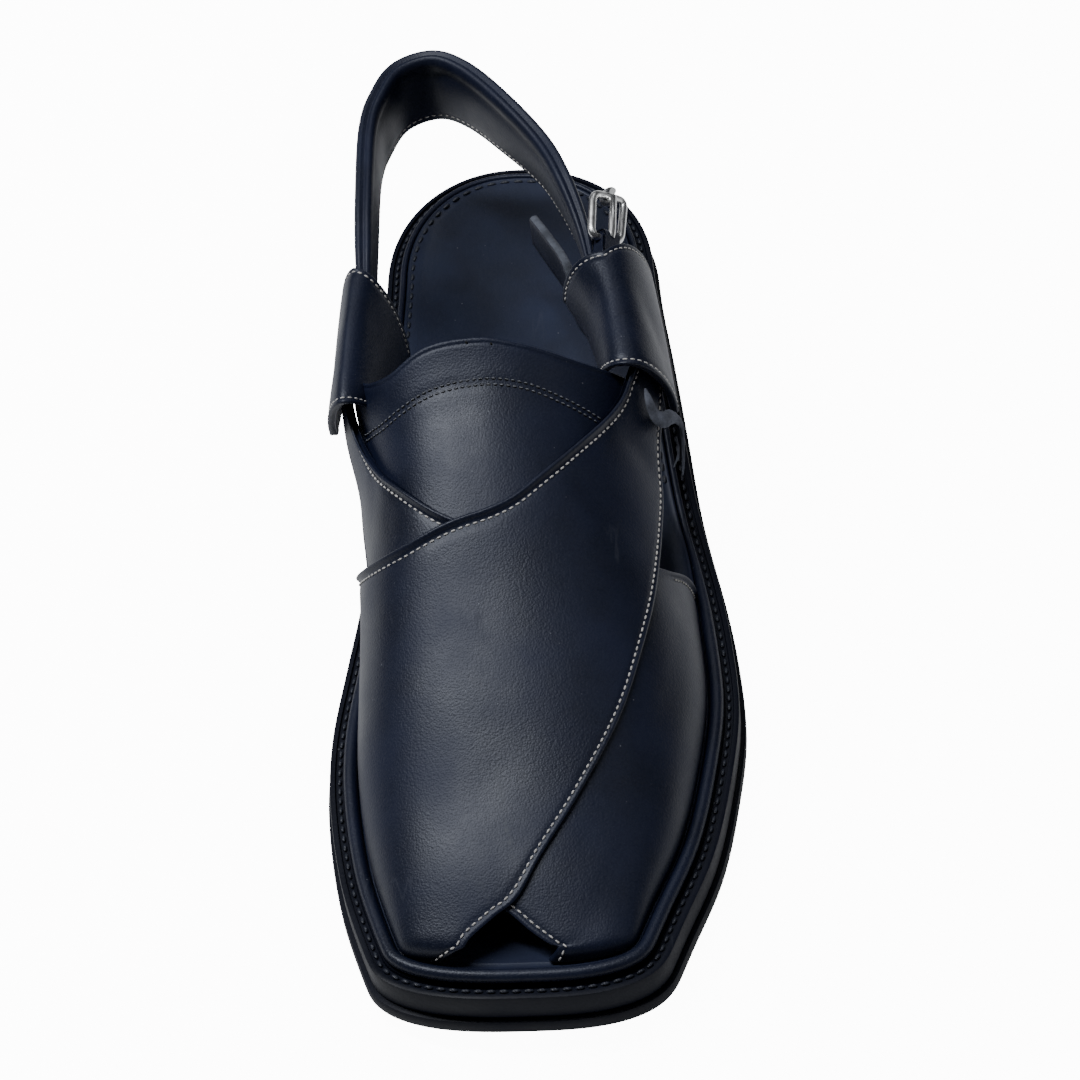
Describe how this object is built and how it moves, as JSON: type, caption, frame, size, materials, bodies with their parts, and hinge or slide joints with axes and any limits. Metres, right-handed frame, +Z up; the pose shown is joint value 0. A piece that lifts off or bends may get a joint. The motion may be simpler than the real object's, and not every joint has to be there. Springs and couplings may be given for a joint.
{
  "type": "peshawari chappal",
  "caption": "Left peshawari chappal sandal: crossed leather panels over a tongue, padded heel strap with a side buckle, square toe on a welted sole with a low heel.",
  "frame": {"origin": "on the floor under the middle of the heel seat", "axes": "+Z up, -Y towards the toe, +X towards the outer (lateral) side of the foot"},
  "size_m": [0.1099, 0.2987, 0.0837],
  "materials": {
    "navy_leather": "very dark navy full-grain leather, semi-matt polish",
    "sole_rubber": "dark navy moulded rubber, satin",
    "footbed_leather": "smooth dark navy lining leather",
    "suede_grey": "raw grey flesh side",
    "steel": "bright wire"
  },
  "bodies": {
    "root": {"heel_lift": "sole_rubber", "outsole": "sole_rubber", "midsole": "sole_rubber", "footbed": "footbed_leather", "welt_bead": "navy_leather", "upper": "navy_leather", "tongue": "navy_leather", "lateral_keeper": "navy_leather", "medial_keeper": "navy_leather", "heel_strap": "navy_leather", "strap_tail": "suede_grey", "buckle_tab": "navy_leather", "buckle_frame": "steel", "buckle_prong": "steel"}
  },
  "joints": []
}
